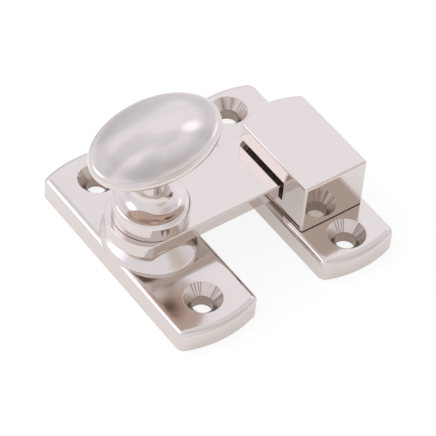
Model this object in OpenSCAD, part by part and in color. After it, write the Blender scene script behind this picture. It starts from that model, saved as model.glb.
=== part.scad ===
// Cupboard turn latch in polished nickel, shown closed: an oval knob turns a flat arm into a slotted keep.
// The origin is the point where the knob's axis meets the plates' back faces. Millimetres, +Z up,
// +X along the closed arm to the keep, and +Y to the side where the arm swings out of the slot.

/* [Main plate] */
// Width of the main plate
plate_w = 19.1; // [17.2:0.1:24]
// Length of the main plate
plate_len = 54.2; // [50:0.2:64]
// Distance between the middles of the main plate's screw holes
plate_hole_gap = 38.4; // [34:0.2:41]
// Thickness of both plates
plate_t = 4.9; // [4.4:0.1:6.5]
// Radius of the arcs at the ends of both plates
end_r = 24; // [18:0.5:40]
// Radius of the plates' corners, seen from above
corner_r = 1.8; // [1:0.1:3]
// Rounding of the plates' top edges
plate_soft = 0.9; // [0.3:0.1:1.4]
// Reach of the oval collar along the plate, from the knob's axis
collar_r = 11.2; // [10.4:0.1:12.5]
// Height of the collar's edge above the plate
collar_h = 1.3; // [1.1:0.1:2.5]
// Rounding of the collar's edge
collar_soft = 0.9; // [0.3:0.1:0.9]
// Height of the collar's sloping top
collar_rise = 2.2; // [1:0.1:3]
// Radius of the flat on top of the collar, which the hub turns on
collar_top_r = 6.6; // [6.2:0.1:7.5]

/* [Screw holes of both plates] */
// Diameter of the plain hole
hole_d = 4.5; // [3:0.1:4.6]
// Diameter of the countersink at the plate's face
sink_d = 8.2; // [7:0.1:8.6]
// Angle of the countersink's cone
sink_angle = 82; // [80:1:100]

/* [Arm] */
// Width of the arm
arm_w = 16; // [14:0.1:17]
// Thickness of the arm
arm_t = 3.5; // [2.5:0.1:5]
// How far the arm's round end stands past the main plate's sides
arm_over = -0.15; // [-0.3:0.05:1]
// Radius of the arm's corners, seen from above
arm_corner_r = 1.8; // [1:0.1:3]
// Rounding of the arm's long edges
arm_soft = 0.35; // [0.1:0.05:0.8]
// Radius of the low hub under the arm
hub_r = 6.2; // [5.4:0.1:6.4]
// Height of the hub, which holds the arm clear of the collar
hub_h = 0.3; // [0.2:0.05:0.8]

/* [Knob] */
// Radius of the boss that sits on the arm
boss_r = 8; // [7:0.1:8.6]
// Height of the boss
boss_h = 4.4; // [3.8:0.1:7]
// Rounding of the boss's top edge
boss_soft = 1.1; // [0.3:0.1:1.3]
// Radius of the neck between the boss and the oval head
neck_r = 3.2; // [3:0.1:4]
// Radius of the hollow curve between the boss and the neck
neck_fillet = 3.5; // [1.5:0.1:3.6]
// Radius of the hollow curve between the neck and the head
head_fillet = 2; // [1:0.1:2.4]
// Length of the oval head
knob_len = 31.5; // [26:0.1:40]
// Width of the oval head
knob_w = 20.6; // [18:0.1:26]
// Height of the head's rim above the boss
knob_lift = 16.5; // [12:0.1:20]
// Depth of the head below its rim, down to the neck
knob_depth = 7.2; // [5:0.1:9]
// Height of the domed top above the rim
dome_rise = 3.9; // [2:0.1:7]
// Radius of the rolled rim
rim_r = 1.3; // [1:0.1:2]
// Turn of the oval head from the line of the arm, seen from the front
knob_turn = 10.7; // [0:0.1:90]

/* [Keep] */
// Distance from the knob's axis to the middle of the keep
keep_x = 35; // [34:0.1:45]
// Width of the keep's plate
keep_w = 18.5; // [16.6:0.1:20]
// Length of the keep's plate
keep_len = 54.2; // [50.6:0.2:64]
// Distance between the middles of the keep's screw holes
keep_hole_gap = 41.8; // [41.2:0.2:42.4]
// Width of the keep's block
block_w = 15.8; // [13.4:0.1:16.2]
// Length of the keep's block, to the middle of its curved back
block_len = 24.8; // [22:0.1:26]
// Radius of the block's curved back
block_back_r = 14.6; // [11:0.1:40]
// Thickness of the block in front of the slot
block_front_wall = 7.1; // [5.6:0.1:7.9]
// Thickness of the block beside the arm's tip
block_side_wall = 2.4; // [1.5:0.1:4]
// Thickness of the block over the slot
block_roof = 4.1; // [2.5:0.1:7]
// Rounding of the block's top edges and front corners
block_soft = 0.5; // [0.2:0.1:1]

/* [Spindle and rear fixings] */
// Diameter of the spindle where it turns in the main plate
journal_d = 8; // [7:0.1:9]
// Width across the flats of the spindle's square
square_w = 6; // [5.2:0.1:6.6]
// Length of the square that reaches into the boss
square_in_boss = 3; // [2:0.1:3.5]
// Diameter of the threaded stud that holds the knob
stud_d = 4; // [3.4:0.1:4.4]
// Length of the threaded stud
stud_len = 7; // [4:0.1:9]
// Diameter of the retaining screw's head
screw_head_d = 7.2; // [6:0.1:8.5]
// Height of the retaining screw's head
screw_head_h = 1.2; // [0.9:0.1:1.4]
// Diameter of the retaining screw's thread
screw_d = 3.5; // [3:0.1:4]
// Length of the retaining screw's thread
screw_len = 9; // [6:0.5:12]
// Diameter of the plain washer
washer_d = 12.4; // [11:0.1:13]
// Thickness of the plain washer
washer_t = 0.8; // [0.5:0.05:0.9]
// Height of the disc spring
spring_h = 0.65; // [0.5:0.05:0.75]
// Thickness of the disc spring's sheet
spring_t = 0.3; // [0.2:0.05:0.4]
// Diameter of the disc spring
spring_d = 12.4; // [11:0.1:13]
// Diameter of the block screws' heads
block_head_d = 5.6; // [5:0.1:6.4]
// Height of the block screws' heads
block_head_h = 1.6; // [1.2:0.1:2]
// Diameter of the block screws' threads
block_screw_d = 3; // [2.5:0.1:3.4]
// Reach of the front block screw into the block
front_screw_reach = 8; // [5:0.5:10]
// Reach of the back block screw into the block
back_screw_reach = 2.4; // [1.8:0.1:2.5]
// Width of the screwdriver slots
drive_w = 0.9; // [0.6:0.1:1.1]
// Depth of the screwdriver slots
drive_d = 0.6; // [0.4:0.1:0.8]

/* [Clearances] */
// Play of the spindle in the main plate, on the radius
running_fit = 0.05; // [0.02:0.01:0.1]
// Play between pieces that are screwed or pushed together, on the radius
push_fit = 0.05; // [0.02:0.01:0.1]
// Play of the block screws in the keep's plate, on the radius
screw_play = 0.2; // [0.1:0.05:0.4]
// Room beside the arm, at the slot's closed front
slot_side = 0.7; // [0.3:0.05:1]
// Room between the arm's tip and the block
slot_end = 1.2; // [0.6:0.1:2]
// Room over the arm in the slot
slot_above = 1.2; // [0.4:0.1:1.5]
// Room under the arm in the slot
slot_below = 0.5; // [0.3:0.1:1]
// Depth of the hidden screw heads below the plates' back faces
back_clear = 0.3; // [0.2:0.05:0.5]
// Gap between the disc spring and the plate
spring_gap = 0.05; // [0.02:0.01:0.1]
// Room round the washers and heads in their recesses
recess_room = 0.6; // [0.3:0.1:0.8]
// Free depth past the end of a screw or stud
tap_room = 0.4; // [0.2:0.1:0.5]

/* [Hidden] */
$fn = 96;

NICKEL = [0.80, 0.76, 0.74];
STEEL = [0.62, 0.63, 0.65];

// Cuts run past a face by this much
CUT = 1;

// Heights, from the plates' back faces up
head_top = back_clear + screw_head_h;
washer_top = head_top + washer_t;
recess_top = washer_top + spring_h + spring_gap;
collar_edge = plate_t + collar_h;
collar_top = collar_edge + collar_rise;
arm_bottom = collar_top + hub_h;
arm_top = arm_bottom + arm_t;
square_top = arm_top + square_in_boss;
stud_top = square_top + stud_len;
boss_top = arm_top + boss_h;
rim_z = boss_top + knob_lift;
knob_top = rim_z + dome_rise;
slot_bottom = arm_bottom - slot_below;
slot_top = arm_top + slot_above;
block_top = slot_top + block_roof;
block_head_top = back_clear + block_head_h;

// The keep's block, seen from above
block_x0 = keep_x - block_w / 2;
block_x1 = keep_x + block_w / 2;
slot_x1 = block_x1 - block_side_wall;
slot_front = -(arm_w / 2 + slot_side);
block_front = slot_front - block_front_wall;
block_back = block_front + block_len;
front_screw_y = slot_front - block_front_wall / 2;
back_screw_y = (slot_front + block_back) / 2;

// Both ends of the arm are arcs about the knob's axis, so that the tip swings clear of the block
tip_r = slot_x1 - slot_end;
arm_end_r = plate_w / 2 + arm_over;

recess_r = max(washer_d, spring_d, screw_head_d) / 2 + recess_room;
sink_depth = (sink_d - hole_d) / 2 / tan(sink_angle / 2);

// Rings and steps of the knob's loft
KNOB_SIDES = 72;
UNDER_STEPS = 8;
RIM_STEPS = 8;
DOME_STEPS = 8;

// Where the rolled rim meets the underside and the domed top, as angles from the rim's middle
RIM_LOW_ANGLE = -42;
RIM_TOP_ANGLE = 85;

// The head's loft starts inside the neck, at this share of the neck's radius
NECK_CORE = 0.6;

// Where the underside's curve is drawn to, as shares of its width and its height
UNDER_PULL = [0.6, 0.25];

// The neck runs up inside the head by this share of the head's depth
NECK_INSIDE = 0.25;

// Half of a strip's plan, from y = 0 to an arc end, with its corners rounded
module half_plan(width, reach, arc_r, round_r) {
    arc_y = reach - arc_r;
    corner_x = width / 2 - round_r;
    corner_y = arc_y + sqrt(pow(arc_r - round_r, 2) - pow(corner_x, 2));
    touch_x = corner_x * arc_r / (arc_r - round_r);
    translate([-width / 2, 0]) square([width, corner_y]);
    intersection() {
        translate([0, arc_y]) circle(arc_r);
        translate([-touch_x, 0]) square([2 * touch_x, reach]);
    }
    for (side = [-1, 1])
        translate([side * corner_x, corner_y]) circle(round_r);
}

// Section of a slab whose upper edges are rounded, and its lower edges too where foot is more than 0
module soft_section(width, height, top, foot = 0) {
    translate([-width / 2, foot]) square([width, height - top - foot]);
    translate([-width / 2 + top, height - top - CUT / 2]) square([width - 2 * top, top + CUT / 2]);
    for (side = [-1, 1]) {
        translate([side * (width / 2 - top), height - top]) circle(top, $fn = 48);
        if (foot > 0)
            translate([side * (width / 2 - foot), foot]) circle(foot, $fn = 48);
    }
    if (foot > 0)
        translate([-width / 2 + foot, 0]) square([width - 2 * foot, foot + CUT / 2]);
}

// Disc whose edges are rounded in the same way
module soft_disc(radius, height, top, foot = 0) {
    rotate_extrude()
        intersection() {
            soft_section(2 * radius, height, top, foot);
            square([radius, height]);
        }
}

// Half of a slab with an arc end: the plan, the long edges' rounding and the end's rounding, all together
module half_slab(width, reach, arc_r, round_r, height, top, foot = 0) {
    intersection() {
        linear_extrude(height) half_plan(width, reach, arc_r, round_r);
        translate([0, reach + CUT, 0]) rotate([90, 0, 0])
            linear_extrude(reach + 2 * CUT) soft_section(width, height, top, foot);
        translate([0, reach - arc_r, 0]) soft_disc(arc_r, height, top, foot);
    }
}

// Plate with two arc ends, its long sides along Y
module plate_blank(width, length) {
    for (turn = [0, 180])
        rotate(turn) half_slab(width, length / 2, end_r, corner_r, plate_t, plate_soft);
}

// Countersunk screw hole through a plate
module plate_hole() {
    translate([0, 0, -CUT]) cylinder(h = plate_t + 2 * CUT, d = hole_d);
    translate([0, 0, plate_t - sink_depth]) cylinder(h = sink_depth, d1 = hole_d, d2 = sink_d);
    translate([0, 0, plate_t]) cylinder(h = CUT, d = sink_d);
}

// The square of the spindle: flats that are cut on a round bar, with play where it is a hole
module square_bar(length, play = 0) {
    intersection() {
        translate([0, 0, length / 2]) cube([square_w + 2 * play, square_w + 2 * play, length], center = true);
        cylinder(h = length, d = journal_d + 2 * play);
    }
}

// Screw with a flat slotted head, its head's underside at z = 0 and its thread upwards
module slotted_screw(head_d, head_h, thread_d, length) {
    cylinder(h = length, d = thread_d);
    difference() {
        translate([0, 0, -head_h]) cylinder(h = head_h, d = head_d);
        translate([0, 0, -head_h]) cube([head_d + CUT, drive_w, 2 * drive_d], center = true);
    }
}

// Section of the collar: a rounded edge, a straight slope and a flat top
module collar_section() {
    round_x = collar_r - collar_soft;
    slope = atan(collar_rise / (round_x - collar_top_r));
    round_z = collar_edge - collar_soft / cos(slope);
    polygon([[0, plate_t / 2], [collar_r, plate_t / 2], [collar_r, round_z],
             [round_x + collar_soft * sin(slope), round_z + collar_soft * cos(slope)],
             [collar_top_r, collar_top], [0, collar_top]]);
    translate([round_x, round_z]) circle(collar_soft, $fn = 48);
}

// Oval collar, as wide as the plate
module collar() {
    scale([plate_w / 2 / collar_r, 1, 1]) rotate_extrude() collar_section();
}

// Main plate with its collar, the spindle's bore and the recess for the washers
module main_plate() {
    color(NICKEL) difference() {
        union() {
            plate_blank(plate_w, plate_len);
            collar();
        }
        for (side = [-1, 1])
            translate([0, side * plate_hole_gap / 2, 0]) plate_hole();
        translate([0, 0, -CUT]) cylinder(h = collar_top + 2 * CUT, d = journal_d + 2 * running_fit);
        translate([0, 0, -CUT]) cylinder(h = recess_top + CUT, r = recess_r);
    }
}

// Flat arm with its round end, its hub and the square hole for the spindle
module latch_arm() {
    color(NICKEL) difference() {
        union() {
            translate([0, 0, arm_bottom]) {
                rotate(-90) half_slab(arm_w, tip_r, tip_r, arm_corner_r, arm_t, arm_soft, arm_soft);
                rotate(90) half_slab(arm_w, arm_end_r, arm_end_r, arm_corner_r, arm_t, arm_soft, arm_soft);
            }
            translate([0, 0, collar_top]) cylinder(h = hub_h + arm_t / 2, r = hub_r);
        }
        translate([0, 0, collar_top - CUT]) square_bar(hub_h + arm_t + 2 * CUT, push_fit);
    }
}

// Point on a curve that leaves a towards b and arrives at c
function bend(a, b, c, t) = a * pow(1 - t, 2) + b * 2 * t * (1 - t) + c * pow(t, 2);

// The oval head's section, from the neck up to the rim: each entry is [share, inset, height].
// The share runs from 0 at the neck's core to 1 at the rim, and the inset is taken off after that.
under_top = rim_z + rim_r * sin(RIM_LOW_ANGLE);
under_low = rim_z - knob_depth;
under_inset = rim_r * (1 - cos(RIM_LOW_ANGLE));
under_rings = [for (i = [0:UNDER_STEPS])
    let (p = bend([0, 0], UNDER_PULL, [1, 1], i / UNDER_STEPS))
    [p[0], p[0] * under_inset, under_low + (under_top - under_low) * p[1]]];
rim_rings = [for (i = [1:RIM_STEPS])
    let (a = RIM_LOW_ANGLE + (RIM_TOP_ANGLE - RIM_LOW_ANGLE) * i / RIM_STEPS)
    [1, rim_r * (1 - cos(a)), rim_z + rim_r * sin(a)]];
rim_end = rim_rings[RIM_STEPS - 1];
head_rings = concat(under_rings, rim_rings);

// One level ring of the head's loft, as an ellipse
function knob_ring(along, across, height) = [for (i = [0:KNOB_SIDES - 1])
    let (a = 360 * i / KNOB_SIDES)
    [along * cos(a), across * sin(a), height]];

// Oval head, as one loft from inside the neck to the top of the dome
module knob_head() {
    half_len = knob_len / 2;
    half_w = knob_w / 2;
    core_r = neck_r * NECK_CORE;
    sides = [for (r = head_rings)
        let (along = core_r + (half_len - core_r) * r[0] - r[1],
             across = core_r + (half_w - core_r) * r[0] - r[1])
        knob_ring(along, across, r[2])];
    dome = [for (i = [1:DOME_STEPS - 1])
        let (a = 90 * i / DOME_STEPS)
        knob_ring((half_len - rim_end[1]) * cos(a), (half_w - rim_end[1]) * cos(a),
                  rim_end[2] + (knob_top - rim_end[2]) * (1 - pow(cos(a), 2)))];
    rings = concat(sides, dome);
    last = (len(rings) - 1) * KNOB_SIDES;
    foot_at = len(rings) * KNOB_SIDES;
    peak_at = foot_at + 1;
    points = concat([for (r = rings) each r], [[0, 0, under_low], [0, 0, knob_top]]);
    walls = [for (low = [0:KNOB_SIDES:last - 1], i = [0:KNOB_SIDES - 1])
        let (j = (i + 1) % KNOB_SIDES, high = low + KNOB_SIDES)
        each [[low + i, high + i, high + j], [low + i, high + j, low + j]]];
    foot = [for (i = [0:KNOB_SIDES - 1]) [foot_at, i, (i + 1) % KNOB_SIDES]];
    crown = [for (i = [0:KNOB_SIDES - 1]) [last + i, peak_at, last + (i + 1) % KNOB_SIDES]];
    polyhedron(points = points, faces = concat(foot, walls, crown));
}

// Half section of the hollow curve round the neck, its flat face at y = 0
module hollow(radius) {
    difference() {
        translate([0, -CUT / 2]) square([neck_r + radius, radius + CUT / 2]);
        translate([neck_r + radius, radius]) circle(radius);
    }
}

// Round boss with its rounded rim, and the neck with a hollow curve at each end
module boss_and_neck() {
    neck_top = under_low + knob_depth * NECK_INSIDE;
    foot_fillet = min(neck_fillet, boss_r - boss_soft - neck_r);
    translate([0, 0, arm_top]) soft_disc(boss_r, boss_h, boss_soft);
    rotate_extrude() {
        translate([0, boss_top - CUT]) square([neck_r, neck_top - boss_top + CUT]);
        translate([0, boss_top]) hollow(foot_fillet);
        translate([0, neck_top]) mirror([0, 1]) hollow(head_fillet);
    }
}

// Boss, neck and oval head are one casting, with a square socket and a tapped hole for the spindle
module knob() {
    color(NICKEL) difference() {
        union() {
            boss_and_neck();
            rotate(knob_turn) knob_head();
        }
        translate([0, 0, arm_top - CUT]) square_bar(square_in_boss + CUT, push_fit);
        translate([0, 0, arm_top]) cylinder(h = stud_top + tap_room - arm_top, d = stud_d + 2 * push_fit);
    }
}

// Journal in the main plate, square through the arm, stud in the knob and a tapped hole from behind
module spindle() {
    color(STEEL) difference() {
        union() {
            translate([0, 0, washer_top]) cylinder(h = collar_top - washer_top, d = journal_d);
            translate([0, 0, collar_top]) square_bar(square_top - collar_top);
            translate([0, 0, square_top - CUT]) cylinder(h = stud_len + CUT, d = stud_d);
        }
        translate([0, 0, washer_top - CUT])
            cylinder(h = screw_len - washer_t + tap_room + CUT, d = screw_d + 2 * push_fit);
    }
}

// Coned ring that holds the arm down on the collar
module disc_spring() {
    inner = journal_d / 2 + 3 * running_fit;
    color(STEEL) translate([0, 0, washer_top]) rotate_extrude()
        polygon([[inner, 0], [spring_d / 2, spring_h - spring_t],
                 [spring_d / 2, spring_h], [inner, spring_t]]);
}

// Flat ring between the spindle's end and the retaining screw's head
module plain_washer() {
    color(STEEL) translate([0, 0, head_top]) difference() {
        cylinder(h = washer_t, d = washer_d);
        translate([0, 0, -CUT]) cylinder(h = washer_t + 2 * CUT, d = screw_d + 2 * screw_play);
    }
}

// Screw that holds the spindle and all that turns with it to the main plate
module retaining_screw() {
    color(STEEL) translate([0, 0, head_top])
        slotted_screw(screw_head_d, screw_head_h, screw_d, screw_len);
}

// Recess and clearance hole for one block screw, through the keep's plate
module block_screw_hole() {
    translate([0, 0, -CUT]) cylinder(h = block_head_top + CUT, d = block_head_d + 2 * screw_play);
    translate([0, 0, -CUT]) cylinder(h = plate_t + 2 * CUT, d = block_screw_d + 2 * screw_play);
}

// Plate of the keep, with its own screw holes and the holes for the block's screws
module keep_plate() {
    color(NICKEL) translate([keep_x, 0, 0]) difference() {
        plate_blank(keep_w, keep_len);
        for (side = [-1, 1])
            translate([0, side * keep_hole_gap / 2, 0]) plate_hole();
        for (y = [front_screw_y, back_screw_y])
            translate([0, y, 0]) block_screw_hole();
    }
}

// Straight-fronted half of the block, its rounded front edge and front corners at y = -reach
module block_front_half(reach, height) {
    intersection() {
        rotate([90, 0, 0]) linear_extrude(reach) soft_section(block_w, height, block_soft);
        rotate([90, 0, 90]) translate([0, 0, -block_w])
            linear_extrude(2 * block_w) soft_section(2 * reach, height, block_soft);
        linear_extrude(height) {
            translate([-block_w / 2, block_soft - reach]) square([block_w, reach - block_soft]);
            translate([block_soft - block_w / 2, -reach]) square([block_w - 2 * block_soft, reach]);
            for (side = [-1, 1])
                translate([side * (block_w / 2 - block_soft), block_soft - reach])
                    circle(block_soft, $fn = 48);
        }
    }
}

// Block that holds the arm: its slot is open towards the knob and at the back, and closed at the front
module keep_block() {
    slot_h = slot_top - slot_bottom;
    middle = (block_front + block_back) / 2;
    height = block_top - plate_t;
    color(NICKEL) difference() {
        translate([keep_x, middle, plate_t]) {
            half_slab(block_w, block_len / 2, block_back_r, block_soft, height, block_soft);
            block_front_half(block_len / 2, height);
        }
        translate([block_x0 - CUT, slot_front, slot_bottom])
            cube([slot_x1 - block_x0 + CUT, block_back - slot_front + CUT, slot_h]);
        translate([keep_x, front_screw_y, plate_t - CUT])
            cylinder(h = front_screw_reach + tap_room + CUT, d = block_screw_d + 2 * push_fit);
        translate([keep_x, back_screw_y, plate_t - CUT])
            cylinder(h = back_screw_reach + tap_room / 2 + CUT, d = block_screw_d + 2 * push_fit);
    }
}

// Screw in the solid front of the block
module block_screw_front() {
    color(STEEL) translate([keep_x, front_screw_y, block_head_top])
        slotted_screw(block_head_d, block_head_h, block_screw_d,
                      plate_t - block_head_top + front_screw_reach);
}

// Shorter screw, under the slot
module block_screw_back() {
    color(STEEL) translate([keep_x, back_screw_y, block_head_top])
        slotted_screw(block_head_d, block_head_h, block_screw_d,
                      plate_t - block_head_top + back_screw_reach);
}

main_plate();
latch_arm();
knob();
spindle();
disc_spring();
plain_washer();
retaining_screw();
keep_plate();
keep_block();
block_screw_front();
block_screw_back();
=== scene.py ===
"""Cupboard turn latch in polished nickel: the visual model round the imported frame, its studio and its camera."""

import logging
import math
from collections.abc import Sequence
from dataclasses import dataclass, field
from enum import Enum

import bmesh
import bpy
import numpy as np
from mathutils import Matrix, Vector


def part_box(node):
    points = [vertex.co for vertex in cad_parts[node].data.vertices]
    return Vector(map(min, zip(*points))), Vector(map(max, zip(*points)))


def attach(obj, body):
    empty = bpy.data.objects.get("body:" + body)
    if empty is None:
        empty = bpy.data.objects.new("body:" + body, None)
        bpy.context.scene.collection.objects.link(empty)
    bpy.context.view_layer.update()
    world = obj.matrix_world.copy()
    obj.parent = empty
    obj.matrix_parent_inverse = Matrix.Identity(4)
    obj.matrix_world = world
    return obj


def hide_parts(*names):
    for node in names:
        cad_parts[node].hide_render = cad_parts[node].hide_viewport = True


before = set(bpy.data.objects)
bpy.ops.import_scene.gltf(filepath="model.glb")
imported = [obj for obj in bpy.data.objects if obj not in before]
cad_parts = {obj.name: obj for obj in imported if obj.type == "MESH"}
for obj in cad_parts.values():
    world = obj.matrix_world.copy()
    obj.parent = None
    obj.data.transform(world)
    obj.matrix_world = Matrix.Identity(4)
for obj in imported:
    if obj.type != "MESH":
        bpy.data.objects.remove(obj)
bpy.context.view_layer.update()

MM = 0.001
MERGE_DISTANCE = 1e-7
CORNER_STEPS = 10
ARC_STEPS = 48
TURN_STEPS = 96
FLAT_FACE_WEIGHT = 100
BAND_SPACING = 0.314  # distance between the wave texture's bands at scale 1
WHITE = (1.0, 1.0, 1.0, 1.0)
BLOCK_SCREWS = ("block_screw_front", "block_screw_back")

Pair = tuple[float, float]
Triple = tuple[float, float, float]
Profile = list[Pair]

logging.basicConfig(level=logging.INFO, format="%(message)s")
log = logging.getLogger("latch")


class Body(Enum):
    """The bodies that the latch's pieces ride on."""

    FIXED = "fixed"
    TURNING = "turning"


class Slot(Enum):
    """The record's material slots."""

    PLATE = "nickel_plate"
    ARM = "nickel_arm"
    KNOB = "nickel_knob"
    BLOCK = "nickel_block"
    STEEL = "steel"
    SPRING = "spring_steel"


@dataclass(frozen=True)
class Extent:
    """Lowest and highest corner of a CAD node at rest, in metres."""

    low: Vector
    high: Vector

    @classmethod
    def of(cls, node: str) -> "Extent":
        """Reads a node's box from the frame."""
        low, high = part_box(node)
        return cls(Vector(low), Vector(high))

    @property
    def size(self) -> Vector:
        """Width, length and height."""
        return self.high - self.low

    @property
    def middle(self) -> Vector:
        """Centre of the box."""
        return (self.low + self.high) / 2


@dataclass(frozen=True)
class End:
    """One end of a strip: how far it reaches and the radius of its arc."""

    reach: float
    arc_r: float


def arc_points(centre: Pair, radius: float, start: float, stop: float, steps: int) -> np.ndarray:
    """Points along an arc, with their outward normals.

    Args:
        centre: the arc's centre.
        radius: the arc's radius.
        start: first angle, in degrees.
        stop: last angle, in degrees.
        steps: number of stretches between points.

    Returns:
        Rows of x, y, normal x and normal y.
    """
    angles = np.radians(np.linspace(start, stop, steps + 1))
    normals = np.column_stack([np.cos(angles), np.sin(angles)])
    return np.hstack([np.array(centre) + radius * normals, normals])


@dataclass(frozen=True)
class Outline:
    """Closed plan seen from above, anticlockwise: rows of x, y, normal x and normal y."""

    rows: np.ndarray

    @classmethod
    def circle(cls, radius: float, steps: int) -> "Outline":
        """A full circle about the origin, with one point for each step."""
        return cls(arc_points((0, 0), radius, 0, 360, steps)[:-1])

    @classmethod
    def strip(cls, width: float, back: End, front: End, corner_r: float) -> "Outline":
        """A strip along Y with an arc at each end and rounded corners.

        Args:
            width: the strip's width.
            back: the end towards +Y.
            front: the end towards -Y.
            corner_r: radius of the corners.

        Returns:
            The outline.
        """
        rows = []
        for end, turn in ((back, 0.0), (front, 180.0)):
            arc_y = end.reach - end.arc_r
            corner_x = width / 2 - corner_r
            rise = math.sqrt((end.arc_r - corner_r) ** 2 - corner_x**2)
            touch = math.degrees(math.atan2(rise, corner_x))
            right = arc_points((corner_x, arc_y + rise), corner_r, 0, touch, CORNER_STEPS)
            middle = arc_points((0, arc_y), end.arc_r, touch, 180 - touch, ARC_STEPS)[1:-1]
            left = arc_points((-corner_x, arc_y + rise), corner_r, 180 - touch, 180, CORNER_STEPS)
            rows.append(cls(np.vstack([right, middle, left])).turned(turn).rows)
        return cls(np.vstack(rows))

    @classmethod
    def square(cls, half: float, corner_reach: float, steps: int = 6) -> "Outline":
        """A square whose corners are cut by a circle, as a square filed on a round bar.

        Args:
            half: half the width across the flats.
            corner_reach: radius of the round bar.
            steps: number of stretches on each corner.

        Returns:
            The outline.
        """
        start = math.degrees(math.acos(half / corner_reach))
        corner = arc_points((0, 0), corner_reach, start, 90 - start, steps)
        return cls(np.vstack([cls(corner).turned(turn).rows for turn in (0, 90, 180, 270)]))

    def turned(self, degrees: float) -> "Outline":
        """The outline turned about the origin.

        Args:
            degrees: angle, anticlockwise.

        Returns:
            The turned outline.
        """
        c, s = math.cos(math.radians(degrees)), math.sin(math.radians(degrees))
        turn = np.array([[c, s], [-s, c]])
        return Outline(np.hstack([self.rows[:, :2] @ turn, self.rows[:, 2:] @ turn]))

    def moved(self, x: float, y: float) -> "Outline":
        """The outline moved in its plane."""
        return Outline(self.rows + np.array([x, y, 0, 0]))

    def inset(self, distance: float) -> np.ndarray:
        """Rows of x and y, moved inwards along the normals."""
        return self.rows[:, :2] - distance * self.rows[:, 2:]


@dataclass(frozen=True)
class Rounding:
    """Rounded edges of a slab: radius at the foot, height and spread at the top, and steps of each."""

    foot: float = 0.0
    top: float = 0.0
    steps: int = 8
    spread: float = 1.0

    def levels(self, z0: float, z1: float) -> Profile:
        """Inset and height of each ring, from the foot up.

        Args:
            z0: height of the foot.
            z1: height of the top.

        Returns:
            Pairs of inset and height.
        """
        quarter = np.radians(np.linspace(0, 90, self.steps + 1))
        low = [(self.foot * (1 - math.sin(a)), z0 + self.foot * (1 - math.cos(a))) for a in quarter]
        high = [(self.top * self.spread * (1 - math.cos(a)), z1 - self.top * (1 - math.sin(a)))
                for a in quarter]
        return (low if self.foot else [(0.0, z0)]) + (high if self.top else [(0.0, z1)])


@dataclass(frozen=True)
class Bend:
    """A point of a turned profile: radius, height, and the radius of the rounding at that corner."""

    radius: float
    height: float
    blend: float = 0.0


def rounded_profile(bends: list[Bend], steps: int = 5) -> Profile:
    """A turned profile with its corners rounded.

    Args:
        bends: the profile's corners.
        steps: number of stretches on each rounding.

    Returns:
        Pairs of radius and height.
    """
    points = [np.array([b.radius, b.height]) for b in bends]
    out = [tuple(points[0])]
    for before, here, after, bend in zip(points, points[1:], points[2:], bends[1:]):
        if not bend.blend:
            out.append(tuple(here))
            continue
        u = (before - here) / np.linalg.norm(before - here)
        v = (after - here) / np.linalg.norm(after - here)
        half = math.acos(float(np.clip(np.dot(u, v), -1, 1))) / 2
        centre = here + (u + v) / np.linalg.norm(u + v) * bend.blend / math.sin(half)
        a = here + u * bend.blend / math.tan(half) - centre
        b = here + v * bend.blend / math.tan(half) - centre
        span = math.atan2(a[0] * b[1] - a[1] * b[0], float(np.dot(a, b)))
        for t in np.linspace(0, span, steps + 1):
            out.append((centre[0] + a[0] * math.cos(t) - a[1] * math.sin(t),
                        centre[1] + a[0] * math.sin(t) + a[1] * math.cos(t)))
    out.append(tuple(points[-1]))
    return [(float(r), float(z)) for r, z in out]


def linked(name: str, data: bpy.types.ID) -> bpy.types.Object:
    """Makes an object and puts it in the scene.

    Args:
        name: the object's name.
        data: its mesh, camera or lamp.

    Returns:
        The object.
    """
    obj = bpy.data.objects.new(name, data)
    bpy.context.scene.collection.objects.link(obj)
    return obj


def close_skin(bm: bmesh.types.BMesh) -> None:
    """Merges the doubles and turns the faces outwards.

    Args:
        bm: the mesh, which is changed.
    """
    bmesh.ops.remove_doubles(bm, verts=bm.verts, dist=MERGE_DISTANCE)
    bmesh.ops.recalc_face_normals(bm, faces=bm.faces)


Ring = list[bmesh.types.BMVert]


class Tag(Enum):
    """Face attributes that the finishes read."""

    DRILLED = "drilled"
    SUNK = "sunk"
    # darker faces: painted shade at the block's and the boss's foot, in the slot and in the knob's valley; chatter
    # marks in the countersinks
    SEAM = "painted_shade_and_chatter"
    # painted shade on the underside of the knob's head
    PAINTED_UNDERSIDE_SHADE = "painted_underside_shade"


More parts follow.
